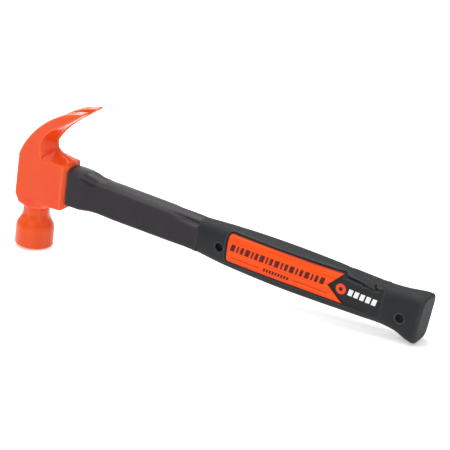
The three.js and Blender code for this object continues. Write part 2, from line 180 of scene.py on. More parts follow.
def crossings(values, axis):
    """Grid edges along an axis that the surface crosses: corner, crossing, and which end is inside."""
    near = [slice(None)] * 3
    far = [slice(None)] * 3
    near[axis], far[axis] = slice(0, -1), slice(1, None)
    near, far = tuple(near), tuple(far)
    index = np.argwhere((values[near] < 0) != (values[far] < 0))
    v0, v1 = values[near][tuple(index.T)], values[far][tuple(index.T)]
    points = index.astype(float)
    points[:, axis] += v0 / (v0 - v1)
    return index, points, v0 < 0


def surface_net(field, low, high, cell):
    """One vertex in each cell that the surface crosses, one quad on each crossed edge."""
    axes = [np.arange(lo, hi + cell, cell) for lo, hi in zip(low, high)]
    values = field(*np.ix_(*axes))
    strides = np.array([values.shape[1] * values.shape[2], values.shape[2], 1])
    sums = np.zeros((4, values.size))
    quads = []
    for axis in range(3):
        index, points, starts_inside = crossings(values, axis)
        p, q = (axis + 1) % 3, (axis + 2) % 3
        corner = index @ strides
        ring = [corner - strides[p] - strides[q], corner - strides[q], corner, corner - strides[p]]
        for cells in ring:
            sums[3] += np.bincount(cells, minlength=values.size)
            for k in range(3):
                sums[k] += np.bincount(cells, weights=points[:, k], minlength=values.size)
        ring = np.stack(ring, 1)
        quads.append(np.where(starts_inside[:, None], ring, ring[:, ::-1]))
    used = sums[3] > 0
    vertices = (sums[:3, used] / sums[3, used]).T * cell + np.array([a[0] for a in axes])
    number = np.cumsum(used) - 1
    return vertices, number[np.concatenate(quads)]


def settle(field, vertices, quads, cell, rounds=3):
    """Evens the mesh out and draws every vertex onto the surface."""
    step = cell * 0.2
    offsets = np.eye(3) * step
    ends = np.concatenate([quads[:, [i, (i + 1) % 4]] for i in range(4)])
    counts = np.bincount(ends.ravel(), minlength=len(vertices))[:, None]
    for turn in range(rounds):
        if turn:
            total = np.zeros_like(vertices)
            for a, b in ((0, 1), (1, 0)):
                for k in range(3):
                    total[:, k] += np.bincount(ends[:, a], vertices[ends[:, b], k], len(vertices))
            vertices = vertices + 0.5 * (total / counts - vertices)
        for _ in range(2):
            slope = np.stack([
                field(*(vertices + offset).T) - field(*(vertices - offset).T) for offset in offsets
            ], 1) / (2 * step)
            size = np.maximum((slope ** 2).sum(1), 0.05)[:, None]
            move = -field(*vertices.T)[:, None] * slope / size
            vertices = vertices + np.clip(move, -cell, cell)
    return vertices


def bulge(field, vertices, reach):
    """How far the skin around each vertex bends away (above 0) or closes in (below 0)."""
    total = -6 * field(*vertices.T)
    for offset in np.eye(3) * reach:
        total = total + field(*(vertices + offset).T) + field(*(vertices - offset).T)
    return 0.5 * total / reach


# Reaches for the bending that the materials paint as highlight on outer edges and shade in hollows.
EDGE_REACH = 1.1  # how far from a vertex its outer edges are felt, and its hollows
HOLLOW_REACH = 3.5
HOLLOW_WEIGHT = 1.25


def bending(field, vertices):
    """0.5 where the skin is flat, up to 1 on its outer edges and down to 0 in its hollows; the materials
    paint highlight on edges and shade in hollows from it.
    """
    edges = np.maximum(bulge(field, vertices, EDGE_REACH), 0)
    hollows = np.minimum(bulge(field, vertices, HOLLOW_REACH), 0)
    return np.clip(0.5 + edges + HOLLOW_WEIGHT * hollows, 0, 1)


def new_object(name, data):
    made = bpy.data.objects.new(name, data)
    bpy.context.scene.collection.objects.link(made)
    return made


def give_edge(mesh, values):
    """Stores a value with each vertex, which the materials read as "edge"."""
    edge = mesh.attributes.new("edge", "FLOAT", "POINT")
    edge.data.foreach_set("value", values.astype(np.float32))


def mesh_piece(name, vertices_mm, faces, materials):
    """A smooth-shaded mesh object, in metres, riding on the hammer's one body."""
    mesh = bpy.data.meshes.new(name)
    faces = [tuple(int(corner) for corner in face) for face in faces]
    mesh.from_pydata((np.asarray(vertices_mm) * MM).tolist(), [], faces)
    mesh.polygons.foreach_set("use_smooth", np.ones(len(mesh.polygons), bool))
    for material in materials:
        mesh.materials.append(material)
    mesh.update()
    piece = new_object(name, mesh)
    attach(piece, ROOT)
    return piece


def skin(name, field, low, high, cell, material):
    """A field's surface as one closed piece that carries its bending, from which the material paints
    highlight on edges and shade in hollows.
    """
    margin = 3 * cell
    vertices, quads = surface_net(field, np.array(low) - margin, np.array(high) + margin, cell)
    vertices = settle(field, vertices, quads, cell)
    piece = mesh_piece(name, vertices, quads, [material])
    give_edge(piece.data, bending(field, vertices))
    return piece


# -------------------- hammer head

CHEEK_HALF_WIDTH = abs(mount_mm("cheek_near")[1])
POLL_RADIUS = -HEAD_LOW[0]
CLAW_TIP = HEAD_HIGH[0], HEAD_HIGH[2]
EYE_CENTRE = (PLATE_LOW[2] + PLATE_HIGH[2]) / 2
PLATE_HALF_WIDTH = PLATE_HIGH[1]
PLATE_HALF_HEIGHT = (PLATE_HIGH[2] - PLATE_LOW[2]) / 2
PLATE_LAP = 1.3  # how far the safety plate reaches past the eye
CLEARANCE = 0.3  # gap between the head and the pieces in its eye
EYE_CORNER = 4.5
BESIDE = 0.8  # past this share of the half width the block's top is the cheeks', not the crown's

BLOCK_LEVEL = cut("hammer_head", 2, EYE_CENTRE)
HEAD_BACK, HEAD_FRONT = BLOCK_LEVEL[:, 0].min(), BLOCK_LEVEL[:, 0].max()
BLOCK_CUT = cut("hammer_head", 0, HEAD_FRONT - 6)
BLOCK_CUT = BLOCK_CUT[BLOCK_CUT[:, 2] < (EYE_CENTRE + CLAW_TIP[1]) / 2]  # leaves the claw out
BLOCK_BOTTOM = BLOCK_CUT[:, 2].min()
CHEEK_TOP = BLOCK_CUT[np.abs(BLOCK_CUT[:, 1]) > BESIDE * CHEEK_HALF_WIDTH][:, 2].max()
TIP_HALF_WIDTH = np.abs(cut("hammer_head", 2, CLAW_TIP[1] - 2.5)[:, 1]).max()

POLL_HEIGHTS = [2, 8, 14, 17, 20, 23, 26, 29]  # levels at which the CAD poll is cut
POLL_ROWS = [(h, np.abs(cut("hammer_head", 2, h)[:, 1]).max()) for h in POLL_HEIGHTS]
NECK_RADIUS = POLL_ROWS[-1][1]
NECK_FLAT = NECK_RADIUS - 0.25  # the neck is ground to eight flats

FRONT_CHAMFER = 3.6  # between the cheeks and the block's face on the handle's side
CREST = 2.2  # roundness of the ridge down the middle of the throat and the block's top
THROAT_RIDGE = 3.7  # how far the throat's middle stands in front of the CAD's plain throat
THROAT_HOLLOW = 4.2  # how far its sides lie behind it
MIDDLE_TURN = 152  # angles round the sweep centre at which the throat turns into the block's top
SIDE_TURN = 172
SWEEP_CENTRE = np.array([CLAW_TIP[0], CHEEK_TOP])  # the claw's curves sweep round this place
SWEEP_FADE = 60  # angle before the throat's turn over which its shift grows from nothing
FAN_START = CHEEK_TOP + 4.5  # the claw widens from here up to its full width
FAN_END = CHEEK_TOP + 44.5
WAIST = 0.5  # how much the block narrows on each side towards the neck
FLARE_START = BLOCK_BOTTOM - 7  # the neck flares out into the block between these heights
FLARE_END = BLOCK_BOTTOM + 1.5
FLARE = 10  # how far out it has come at the upper one
CHAMFER_TOP = CHEEK_TOP + 1.5  # the chamfer runs out above this height
NECK_TOP = BLOCK_BOTTOM + 4  # the neck reaches up into the block to here
FLATS_END, FLATS_GONE = 27, 15  # heights over which the neck's flats turn into the round poll
POLL_INSET = 0.02  # keeps the poll just inside the CAD's
CLAW_EDGE, NECK_EDGE, FACE_EDGE, FINE_EDGE = 0.8, 1.2, 1.0, 0.5  # how far the head's edges are rounded


def claw_curves():
    """Points of the CAD claw's back and throat, from level planes and the tip's edge."""
    back, throat = [CLAW_TIP], [(CLAW_TIP[0], cut("hammer_head", 0, CLAW_TIP[0] - 0.1)[:, 2].min())]
    for level in np.linspace(CHEEK_TOP + 3, CLAW_TIP[1] - 2, 18):
        points = cut("hammer_head", 2, level)
        width = np.abs(points[:, 1])
        back.append((points[:, 0].min(), level))
        throat.append((points[width > 0.85 * width.max()][:, 0].max(), level))
    return back, throat


def sweep(points, start, end, shift=0.0, steps=30):
    """A smooth curve through points round the sweep centre; the shift is gone at the tip."""
    offset = np.array(points) - SWEEP_CENTRE
    angles = np.degrees(np.arctan2(offset[:, 1], offset[:, 0]))
    shape = np.polynomial.Polynomial.fit(angles, np.hypot(*offset.T), 5)
    angles = np.linspace(start, end, steps)
    radii = shape(angles) + shift * smoothstep(end - SWEEP_FADE, end, angles)
    ways = np.stack([np.cos(np.radians(angles)), np.sin(np.radians(angles))], 1)
    return [tuple(point) for point in SWEEP_CENTRE + radii[:, None] * ways]


def block_top(x, inner):
    """Height of the block's top at a place along it, in its middle or beside the cheeks."""
    points = cut("hammer_head", 0, x)
    points = points[points[:, 2] < (EYE_CENTRE + CLAW_TIP[1]) / 2]
    beside = np.abs(points[:, 1]) > BESIDE * CHEEK_HALF_WIDTH
    return points[~beside if inner else beside][:, 2].max()


CLAW_BACK, CLAW_THROAT = claw_curves()


def head_outline(shift, turn, ledge):
    """The head from the side, down to the neck; the throat differs between middle and side."""
    points = [(HEAD_BACK - 0.6, BLOCK_BOTTOM + 3.5), (HEAD_BACK, CHEEK_TOP - 0.6)]
    points += sweep(CLAW_BACK, 176, 90)
    throat = sweep(CLAW_THROAT, 90, turn, shift)
    low, high = np.array(ledge), np.array(throat[-1])
    pull_down, pull_back = high[1] + 0.62 * (low[1] - high[1]), low[0] - 0.8 * (low[0] - high[0])
    points += throat + bezier(high, (high[0], pull_down), (pull_back, low[1] + 0.8), low, 10)[1:]
    return points


def block_outline(front_top):
    """The rest of the outline: the handle side, the underside and the way down to the neck."""
    bottom = BLOCK_BOTTOM
    return [
        (HEAD_FRONT, front_top), (HEAD_FRONT, bottom + 3.0), (HEAD_FRONT - 2.6, bottom + 1.0),
        (NECK_RADIUS + 1.6, bottom), (NECK_RADIUS, bottom - 5), (-NECK_RADIUS + 0.6, bottom - 7),
        (-NECK_RADIUS - 0.5, bottom - 1.5),
    ]


MIDDLE_LEDGE = HEAD_FRONT - 11.5
SIDE_LEDGE = HEAD_FRONT - 22.5
CROWN_LIFT = 1.2  # how far the crown stands above the CAD's plainer one
MIDDLE_TOP = block_top(MIDDLE_LEDGE, True) + CROWN_LIFT
MIDDLE_OUTLINE = head_outline(-THROAT_RIDGE, MIDDLE_TURN, (MIDDLE_LEDGE, MIDDLE_TOP))
MIDDLE_OUTLINE += block_outline(block_top(HEAD_FRONT - 1, True) + CROWN_LIFT)
SIDE_OUTLINE = head_outline(THROAT_HOLLOW, SIDE_TURN, (SIDE_LEDGE, CHEEK_TOP)) + block_outline(CHEEK_TOP)


def slot_wall():
    """The nail slot of the CAD: half width as a·x + b·z + c, and where it ends along its tilt."""
    corners = corners_mm("hammer_head")
    width = np.abs(corners[:, 1])
    wall = (corners[:, 2] > CHEEK_TOP + 12) & (width < 0.55 * CHEEK_HALF_WIDTH)
    flat = corners[wall & (width > 1)]
    table = np.stack([flat[:, 0], flat[:, 2], np.ones(len(flat))], 1)
    a, b, c = np.linalg.lstsq(table, np.abs(flat[:, 1]), rcond=None)[0]
    end = (corners[wall][:, 0] * a + corners[wall][:, 2] * b).min()
    return a, b, c, end


SLOT_WALL = slot_wall()
SLOT_FLOOR = CHEEK_TOP + 8  # the slot is cut only above this height, clear of the cheek block


def neck_flats(x, y):
    """How far out a place lies from the neck's axis, square to the nearest of its eight flats."""
    reach = np.full(np.broadcast(x, y).shape, -np.inf)
    for k in range(8):
        angle = math.radians(22.5 + 45 * k)
        reach = np.maximum(reach, x * math.cos(angle) + y * math.sin(angle))
    return reach


def claw_and_block(x, across, z):
    """Claw and cheek block: the side outlines blended across, then trimmed to width and corners."""
    middle = polygon_field(MIDDLE_OUTLINE, x, z)
    side = polygon_field(SIDE_OUTLINE, x, z)
    share = (np.hypot(across, CREST) - CREST) / (math.hypot(CHEEK_HALF_WIDTH, CREST) - CREST)
    share = np.minimum(share, 1)
    plan = middle * (1 - share) + side * share
    fan = (TIP_HALF_WIDTH - CHEEK_HALF_WIDTH) * smoothstep(FAN_START, FAN_END, z)
    waist = WAIST * smoothstep(BLOCK_BOTTOM + 4, BLOCK_BOTTOM - 6, z)
    body = round_cut(plan, across - CHEEK_HALF_WIDTH - fan + waist, CLAW_EDGE)
    flare = NECK_FLAT - 0.4 + FLARE * smoothstep(FLARE_START, FLARE_END, z)
    flare = flare + np.maximum(0, z - FLARE_END)
    body = round_cut(body, neck_flats(np.minimum(x, NECK_RADIUS), across) - flare, NECK_EDGE)
    corner = (x - HEAD_FRONT + across - CHEEK_HALF_WIDTH + FRONT_CHAMFER) / math.sqrt(2)
    return round_cut(body, corner - np.maximum(0, z - CHAMFER_TOP), FINE_EDGE)


def poll_and_neck(x, y, z):
    """Turned poll whose neck is ground to eight flats."""
    (radius,) = flowing(z, POLL_ROWS)
    turned = np.hypot(x, y) - np.minimum(radius, POLL_RADIUS - POLL_INSET)
    flats = neck_flats(x, y) - NECK_FLAT - 6 * smoothstep(FLATS_END, FLATS_GONE, z)
    turned = round_cut(turned, flats, 1.6)
    turned = round_cut(turned, -z, FACE_EDGE)
    return np.maximum(turned, z - NECK_TOP)


def eye_room(across, z, margin):
    """The eye's rounded rectangle, from the plate that covers it."""
    wide = across - PLATE_HALF_WIDTH - margin
    return round_cut(wide, np.abs(z - EYE_CENTRE) - PLATE_HALF_HEIGHT - margin, EYE_CORNER)


def head_field(x, y, z):
    """The whole head with its nail slot, its eye and the safety plate's counterbore."""
    across = np.abs(y)
    solid = round_join(claw_and_block(x, across, z), poll_and_neck(x, y, z), FINE_EDGE)
    a, b, c, end = SLOT_WALL
    slot = round_cut(across - a * x - b * z - c, (end - a * x - b * z) / math.hypot(a, b), CLAW_EDGE)
    slot = np.maximum(slot, SLOT_FLOOR - z)
    solid = round_cut(solid, -slot, FINE_EDGE)
    eye = eye_room(across, z, -PLATE_LAP)
    counterbore = round_cut(eye_room(across, z, CLEARANCE), x - PLATE_HIGH[0] - CLEARANCE, 0.3)
    return round_cut(solid, -np.minimum(eye, counterbore), 0.4)


def build_head():
    piece = skin("painted_head", head_field, HEAD_LOW, HEAD_HIGH, 0.5, painted_head_material())
    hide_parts("hammer_head")


# -------------------- steel core

ROD_NAMES = sorted(name for name in frame["nodes"] if name.startswith("core_rod"))
PLATE_NAMES = ["shoulder_plate", "rod_spacer_front", "rod_spacer_middle", "butt_plate"]
ROD_SIDES = 28
DOME = 0.45  # how much a rod's peened head rises towards its middle
ROD_INSET = 8  # a rod's plain part is measured this far in from its ends


def rod_axis(name):
    """Start, direction, length and radii of a rod, read from its CAD node."""
    low, high = box_mm(name)
    near, far = cut(name, 0, low[0] + ROD_INSET), cut(name, 0, high[0] - ROD_INSET)
    first, last = (near.min(0) + near.max(0)) / 2, (far.min(0) + far.max(0)) / 2
    head = cut(name, 0, low[0] + 0.5)
    way = (last - first) / np.linalg.norm(last - first)
    start = first - way * ROD_INSET / way[0]
    return start, way, (high[0] - low[0]) / way[0], np.ptp(near[:, 1]) / 2, np.ptp(head[:, 1]) / 2


ROD_AXES = {name: rod_axis(name) for name in ROD_NAMES}


def rod_profile(length, radius, head):
    """Distance along the rod and radius, from one domed end to the other."""
    end = [(0, 0.0), (0.03, head * 0.35), (0.16, head * 0.7), (DOME, head - 0.12), (DOME + 0.2, head)]
    end += [(1.0, head), (1.1, head - 0.1), (1.1, radius)]
    return end + [(length - along, size) for along, size in reversed(end)]


def build_rod(name, material):
    """A closed bar turned round the rod's axis."""
    start, way, length, radius, head = ROD_AXES[name]
    across = np.array([0, 1.0, 0])
    up = np.cross(way, across)
    profile = rod_profile(length, radius, head)
    angles = np.arange(ROD_SIDES) * 2 * math.pi / ROD_SIDES
    rim = np.outer(np.cos(angles), across) + np.outer(np.sin(angles), up)
    vertices = [start + way * profile[0][0]]
    for along, size in profile[1:-1]:
        vertices.extend(start + way * along + rim * size)
    vertices.append(start + way * profile[-1][0])
    faces = [(0, 1 + (i + 1) % ROD_SIDES, 1 + i) for i in range(ROD_SIDES)]
    for row in range(len(profile) - 3):
        base = 1 + row * ROD_SIDES
        for i in range(ROD_SIDES):
            j = (i + 1) % ROD_SIDES
            faces.append((base + i, base + j, base + j + ROD_SIDES, base + i + ROD_SIDES))
    last, base = len(vertices) - 1, 1 + (len(profile) - 3) * ROD_SIDES
    faces += [(last, base + i, base + (i + 1) % ROD_SIDES) for i in range(ROD_SIDES)]
    piece = mesh_piece(name.replace("core_rod", "spring_rod"), vertices, faces, [material])
    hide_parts(name)


def plate_field(x, y, z):
    """The safety plate in the counterbore, drilled for the rods."""
    middle, half = (PLATE_LOW[0] + PLATE_HIGH[0]) / 2, (PLATE_HIGH[0] - PLATE_LOW[0]) / 2
    solid = round_cut(eye_room(np.abs(y), z, 0), np.abs(x - middle) - half, 0.35)
    for name in ROD_NAMES:
        start, way, _, radius, _ = ROD_AXES[name]
        hole = np.hypot(y - start[1], z - start[2] - way[2] * (x - start[0])) - radius - CLEARANCE
        solid = round_cut(solid, -hole, 0.15)
    return solid


def build_core():
    """Safety plate and rods; the hidden plates stay CAD pieces and only get their steel."""
    plate_steel = steel_material("plate_steel", 0.30, 0.38, 900)
    rod_steel = steel_material("rod_steel", 0.42, 0.28, 1600)
    plate = skin("eye_plate", plate_field, PLATE_LOW, PLATE_HIGH, 0.25, plate_steel)
    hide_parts("head_safety_plate")
    for name in ROD_NAMES:
        build_rod(name, rod_steel)
    for name in PLATE_NAMES:
        for holder in frame["nodes"][name].material_slots:
            holder.material = plate_steel


# -------------------- shaft and grip

SHAFT_END = GRIP_LOW[0] - 0.06  # leaves a hairline seam between shaft and grip
SHAFT_PLACES = HEAD_FRONT + np.array([1.6, 9, 15, 19, 24, 44, 70, 94, 112])
SHAFT_ROWS = np.concatenate([
    section_rows("shaft_sleeve", SHAFT_PLACES),
    section_rows("grip_sleeve", [GRIP_LOW[0] + 0.3]),  # the shaft's end is flush with the grip
])

INLAY_SINK = 0.15  # the inlay's face lies this far under the grip's skin
GRIP_ENDS = np.concatenate([
    GRIP_LOW[0] + np.array([0.3, 7, 17]), GRIP_HIGH[0] - np.array([28.5, 19.7, 11.7, 5.9]),
])


def grip_rows():
    """Sections of the grip. The recessed panel hides its full width, which the inlay's face gives."""
    rows = section_rows("grip_sleeve", GRIP_ENDS)
    middle = section_rows("grip_sleeve", GRIP_LOW[0] + np.array([42, 74, 109, 136]))
    middle[:, 1] = [width + INLAY_SINK for width in inlay_widths(middle[:, 0])]
    flared = rows[-1] + 0.6 * (rows[-1] - rows[-2]) * (1, 0, 0.4, 0.4)
    return np.concatenate([rows[:3], middle, rows[3:], [flared]])


def inlay_widths(places):
    """Half widths of the inlay's face; past its tail the grip keeps narrowing towards the butt."""
    reach = [place for place in places if place < INLAY_HIGH[0] - 16]
    found = [np.abs(cut("label_inlay_near", 0, place)[:, 1]).max() for place in reach]
    butt_side = np.abs(cut("grip_sleeve", 0, GRIP_HIGH[0] - 28.5)[:, 1]).max()
    return found + [butt_side] * (len(places) - len(reach))


GRIP_ROWS = grip_rows()
SECTION_POWER = 3.3  # how square the grip's section is, along its length and at the butt
BUTT_POWER = 4.6
CROWN = 2.1  # how much the middle of the shaft's top and bottom stands above their edges


def crowned_section(width, height, y, z):
    """Flat sides and a gently crowned top and bottom."""
    across = np.abs(y) - width
    up = np.abs(z) - height + CROWN * (y / width) ** 2
    return round_cut(across, up / 1.08, 1.3)


def oval_section(width, height, p, y, z):
    """Signed distance, good near the skin, to a rounded-rectangle section."""
    a, b = np.abs(y) / width, np.abs(z) / height
    g = np.maximum((a ** p + b ** p) ** (1 / p), 0.3)
    slope = np.hypot((a / g) ** (p - 1) / width, (b / g) ** (p - 1) / height)
    return (g - 1) / np.maximum(slope, 0.02)


def channel(x, z, start, end, radius, rise):
    """Depth factor of a groove between two points, fading in over a length unless that is 0."""
    run = np.array(end) - np.array(start)
    length = math.hypot(*run)
    along = ((x - start[0]) * run[0] + (z - start[1]) * run[1]) / length
    off = (-(x - start[0]) * run[1] + (z - start[1]) * run[0]) / length
    over = np.maximum(np.maximum(-along, along - length), 0)
    reach = np.hypot(off, over) / radius
    profile = np.clip(1 - reach ** 2, 0, None) ** 1.5
    return profile * np.clip(along / rise, 0.0, 1.0) if rise else profile


def from_collar(x, z):
    """A place measured along the handle from the head and up from the eye's centre."""
    return HEAD_FRONT + x, EYE_CENTRE + z


SHAFT_GROOVES = [  # depth, start and end from the collar, radius, and length of the fade-in
    (2.3, (88, 8.6), (117.5, 7.0), 2.0, 24),  # the groove that runs into the grip
    (-0.4, (97, 6), (117, 4.6), 1.2, 10),  # the bead below it
    (0.9, (15, 13), (23, 10.6), 3.6, 0),  # the collar's dimple
]
COLLAR_LEAN = 0.14  # the collar ends further back at its top


def shaft_field(x, y, z):
    """Collar and shaft with their grooves, and the tenon that fills the head's eye."""
    collar = smoothstep(HEAD_FRONT + 3, HEAD_FRONT + 13, x) * smoothstep(HEAD_FRONT + 39, HEAD_FRONT + 24, x)
    lean = x - COLLAR_LEAN * (z - EYE_CENTRE) * collar
    width, height, centre = flowing(lean, SHAFT_ROWS)
    body = crowned_section(width, height, y, z - centre)
    flank = smoothstep(0.5, 0.8, np.abs(y) / width)
    for depth, start, end, radius, rise in SHAFT_GROOVES:
        groove = channel(x, z, from_collar(*start), from_collar(*end), radius, rise)
        body = body + depth * flank * groove
    face = HEAD_FRONT + CLEARANCE
    sleeve = round_cut(body, face - x, 0.5)
    sleeve = round_cut(sleeve, x - SHAFT_END, 0.1)
    tenon = np.maximum(eye_room(np.abs(y), z, -PLATE_LAP - CLEARANCE), x - face - 1)
    return np.minimum(sleeve, np.maximum(tenon, SHAFT_LOW[0] - x))


def grip_middle(x):
    """Height of the grip's centre line at a place along it."""
    return float(flowing(np.array([x]), GRIP_ROWS)[2][0])


def side_cut(depth, low, high):
    """What a plane this deep in the grip's near side crosses between two places, near its middle."""
    points = cut("grip_sleeve", 1, depth - GRIP_HIGH[1])
    middle = grip_middle((low + high) / 2)
    return points[(points[:, 0] > low) & (points[:, 0] < high) & (np.abs(points[:, 2] - middle) < 6.5)]


TAIL = INLAY_HIGH[0]
INLAY_FOOT = [cut("label_inlay_near", 0, x)[:, 2].min() for x in (INLAY_LOW[0] + 10, TAIL - 10)]
SLOPE = (INLAY_FOOT[0] - INLAY_FOOT[1]) / (TAIL - INLAY_LOW[0] - 20)  # how the inlay and panel drop
PANEL_DEPTH = 0.95
PANEL_CORNER = 3.0
PANEL_CUT = 1.4  # the CAD's panel ends and mould recesses are read from planes this deep in its side
RECESS_CUT = 2.3
PANEL_MARGIN = 0.6  # the recessed panel is this much higher and lower than the inlay
PANEL_LEFT = side_cut(PANEL_CUT, INLAY_LOW[0] - 3, INLAY_LOW[0] + 1)[:, 0].min()
PANEL_RIGHT = side_cut(PANEL_CUT, TAIL + 10, TAIL + 35)[:, 0].max()
INLAY_TOP = INLAY_HIGH[2]
INLAY_BOTTOM = INLAY_FOOT[0] + SLOPE * 10
PANEL_TOP = INLAY_TOP + PANEL_MARGIN
PANEL_BOTTOM = INLAY_BOTTOM - PANEL_MARGIN


def lean_down(points):
    """Lets an outline drop along the handle as the grip does."""
    return [(x, z - SLOPE * (x - PANEL_LEFT)) for x, z in points]


def panel_outline():
    """The recessed side panel; past the inlay its upper edge steps down to a shelf."""
    r = PANEL_CORNER
    points = [(PANEL_RIGHT - r, PANEL_BOTTOM)]
    points += arc((PANEL_RIGHT - r, PANEL_BOTTOM + r), r, -90, 0, 6)[1:]
    points += [(PANEL_RIGHT, PANEL_TOP - 3.4), (PANEL_RIGHT - 4, PANEL_TOP - 4.2)]
    points += [(PANEL_RIGHT - 8, PANEL_TOP - 3.4), (TAIL, PANEL_TOP - 1.2), (TAIL - 3, PANEL_TOP)]
    points += arc((PANEL_LEFT + r, PANEL_TOP - r), r, 90, 180, 6)
    points += arc((PANEL_LEFT + r, PANEL_BOTTOM + r), r, 180, 270, 6)
    return lean_down(points)


PANEL_OUTLINE = panel_outline()


def mould_recess(low, high, depth):
    """Centre and radius of the round recess between two places of the grip, and its depth here."""
    rim = side_cut(RECESS_CUT, low, high)
    x, _, z = (rim.min(0) + rim.max(0)) / 2
    return x, z, np.ptp(rim[:, 0]) / 2, depth


HOLES = [
    mould_recess(GRIP_LOW[0] + 10, PANEL_LEFT - 0.5, 3.6),
    mould_recess(PANEL_RIGHT + 5, GRIP_HIGH[0] - 5, 2.4),
]
HOLE_BOSS = 0.4  # how far the rear recess's middle is raised


def on_panel(x, z):
    """A place measured back from the panel's rear end and down from its top edge."""
    return lean_down([(PANEL_RIGHT - x, PANEL_TOP - z)])[0]


def carving(x, z):
    """How deep the side of the grip is cut at a place, in millimetres."""
    panel = polygon_field(PANEL_OUTLINE, x, z)
    wall = 0.3 + 0.4 * smoothstep(TAIL, TAIL + 12, x)  # the wall is steep only beside the inlay
    carved = PANEL_DEPTH * smoothstep(wall, -wall, panel)
    carved = carved * (1 - 0.45 * smoothstep(TAIL, PANEL_RIGHT, x))
    for hole_x, hole_z, radius, deep in HOLES:
        carved = carved + deep * smoothstep(radius + 0.25, radius - 0.35, np.hypot(x - hole_x, z - hole_z))
    boss_x, boss_z, _, _ = HOLES[1]
    carved = carved - HOLE_BOSS * smoothstep(1.6, 0.9, np.hypot(x - boss_x, z - boss_z))
    return carved + finger_grooves(x, z)


FINGER_GROOVES = [  # depth, start and end from the panel's rear top, radius, length of the fade-in
    (0.8, (32, 2.2), (18, 2.8), 1.2, 4),  # the shelf's groove
    (0.9, (16.2, 3.2), (15.2, 3.4), 1.5, 0),
    (0.5, (14, 3.4), (7, 4.4), 0.8, 0),
    (0.9, (7.4, 1.7), (5.8, 3.6), 1.2, 0),  # the crescent scoop at the panel's rear corner
    (0.9, (5.8, 3.4), (1.2, 2.9), 1.2, 0),
    (-0.5, (3.4, 1.9), (2.6, 1.9), 1.5, 0),  # the bead in the crescent
]


def finger_grooves(x, z):
    """How deep the grooves past the inlay are cut at a place of the grip's side."""
    cut_in = 0
    for depth, start, end, radius, rise in FINGER_GROOVES:
        cut_in = cut_in + depth * channel(x, z, on_panel(*start), on_panel(*end), radius, rise)
    return cut_in


BUTT_LEAN = 0.085  # slope of the butt's end face
BUTT_ROUNDING = 2.4


def grip_depth(x, y, z):
    """Signed distance to the grip without its carving or its ends."""
    width, height, centre = flowing(x, GRIP_ROWS)
    towards_butt = smoothstep(GRIP_HIGH[0] - 20, GRIP_HIGH[0] - 5, x)
    power = SECTION_POWER + (BUTT_POWER - SECTION_POWER) * towards_butt
    return oval_section(width, height, power, y, z - centre)


def grip_field(x, y, z):
    """The grip, carved on both sides and cut at both ends."""
    body = grip_depth(x, y, z) + carving(x, z) * smoothstep(3.0, 5.0, np.abs(y))
    body = round_cut(body, GRIP_LOW[0] - x, 0.1)
    half_height = GRIP_ROWS[-1][2]
    lean = BUTT_LEAN * (z - GRIP_ROWS[-1][3])
    return round_cut(body, x - lean - (GRIP_HIGH[0] - BUTT_LEAN * half_height), BUTT_ROUNDING)


def build_sleeves():
    shaft = skin("shaft_moulding", shaft_field, SHAFT_LOW, (SHAFT_END, SHAFT_HIGH[1], SHAFT_HIGH[2]), 0.5,
                 sleeve_material())
    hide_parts("shaft_sleeve")
    grip = skin("grip_moulding", grip_field, GRIP_LOW, GRIP_HIGH, 0.5, rubber_material())
    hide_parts("grip_sleeve")


# -------------------- inlays and printed marks

INLAY_THICKNESS = 0.6
PRINT_THICKNESS = 0.1
PRINT_LIFT = 0.8 * PRINT_THICKNESS  # how far the marks stand out; the rest of them is sunk
TOP_PRINT_LIFT = 1.3 * PRINT_THICKNESS  # for a mark printed over another
MARK_SLANT = 0.22  # how far a bar leans for its height
SIDE_GUESS = 9.0  # half width at which the search for the grip's side starts


def tail_reach(up):
    """How far the inlay's tail reaches at a share of its height."""
    drop = SLOPE * (TAIL - INLAY_LOW[0])
    level = INLAY_BOTTOM + up * (INLAY_TOP - INLAY_BOTTOM) - drop
    return cut("label_inlay_near", 2, level)[:, 0].max()


TAIL_NOTCH = TAIL - tail_reach(0.5)  # how far the swallow tail is cut in
TAIL_TOP = TAIL - tail_reach(0.97)  # how much shorter its upper point is
BORDER = 0.8  # width of the dark border printed round the inlay


def inlay_outline():
    """The inlay from the side: round front corners and a swallow tail."""
    left, corner = INLAY_LOW[0], 2.5
    middle = (INLAY_BOTTOM + INLAY_TOP) / 2
    points = [(TAIL, INLAY_BOTTOM), (TAIL - TAIL_NOTCH, middle), (TAIL - TAIL_TOP, INLAY_TOP)]
    points += arc((left + corner, INLAY_TOP - corner), corner, 90, 180, 7)
    points += arc((left + corner, INLAY_BOTTOM + corner), corner, 180, 270, 7)
    return lean_down(points)


def on_label(across, up):
    """A place on the inlay as shares of its length and height."""
    x = INLAY_LOW[0] + across * (TAIL - TAIL_NOTCH - INLAY_LOW[0])
    return lean_down([(x, INLAY_BOTTOM + up * (INLAY_TOP - INLAY_BOTTOM))])[0]


def slanted_bar(x, z, width, height):
    """A leaning bar from its left edge; z is its middle."""
    shift = MARK_SLANT * height / 2
    return [
        (x - shift, z - height / 2), (x + width - shift, z - height / 2),
        (x + width + shift, z + height / 2), (x + shift, z + height / 2),
    ]


def bar_row(start, end, height, widths, gap):
    """Slanted bars of repeating widths from one point towards another."""
    bars = []
    x, i = start[0], 0
    while x + widths[i % len(widths)] <= end[0]:
        width = widths[i % len(widths)]
        z = start[1] + (end[1] - start[1]) * (x + width / 2 - start[0]) / (end[0] - start[0])
        bars.append(slanted_bar(x, z, width, height))
        x += width + gap
        i += 1
    return bars


def disc(x, z, radius, steps=28):
    return arc((x, z), radius, 0, 360 - 360 / steps, steps)


def on_grip(x, z, depth, side):
    """The points of the grip's side that lie a given depth under its skin."""
    y = np.full(len(x), SIDE_GUESS)
    for _ in range(12):
        gap = grip_depth(x, y, z) + depth
        slope = (grip_depth(x, y + 0.05, z) - grip_depth(x, y - 0.05, z)) / 0.1
        y = y - gap / np.maximum(slope, 0.3)
    return side * y


